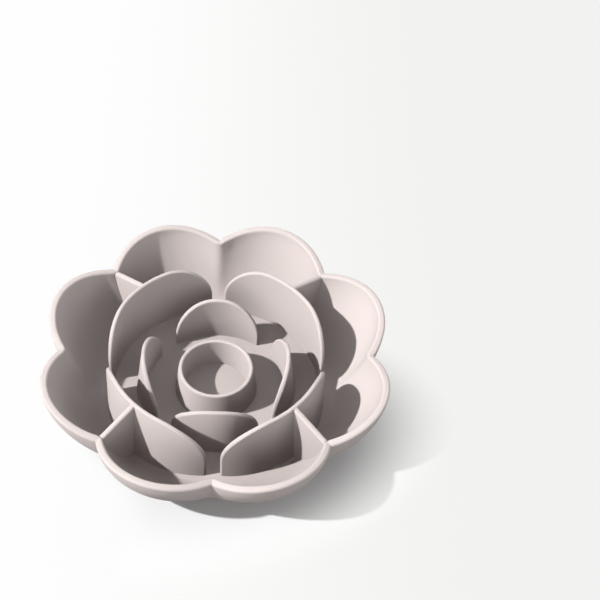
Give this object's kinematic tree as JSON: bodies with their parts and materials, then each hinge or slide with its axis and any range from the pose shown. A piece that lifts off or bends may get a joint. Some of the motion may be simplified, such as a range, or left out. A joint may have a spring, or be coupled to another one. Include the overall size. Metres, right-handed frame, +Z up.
{
  "type": "slow feeder cat bowl",
  "caption": "Flower-shaped slow feeder bowl for cats: lobed dish with rings of arched petal walls around a small round well, ribs to the rim and rubber feet.",
  "frame": {"origin": "bottom centre: on the bowl's axis, at the level the feet rest on", "axes": "+Z up, -Y towards the front of the bowl, +X to its right seen from the front"},
  "size_m": [0.1906, 0.1906, 0.0445],
  "materials": {
    "bowl_plastic": "matt, faintly warm grey, soft moulded skin",
    "foot_rubber": "matt grey rubber"
  },
  "bodies": {
    "root": {"bowl_shell": "bowl_plastic", "centre_cup": "bowl_plastic", "ring_petal_back_right": "bowl_plastic", "ring_petal_back_left": "bowl_plastic", "ring_petal_front_left": "bowl_plastic", "ring_petal_front_right": "bowl_plastic", "rib_back_right": "bowl_plastic", "rib_back_left": "bowl_plastic", "rib_front_left": "bowl_plastic", "rib_front_right": "bowl_plastic", "inner_petal_right": "bowl_plastic", "inner_petal_back": "bowl_plastic", "inner_petal_left": "bowl_plastic", "inner_petal_front": "bowl_plastic", "foot_right": "foot_rubber", "foot_back": "foot_rubber", "foot_left": "foot_rubber", "foot_front": "foot_rubber"}
  },
  "joints": []
}
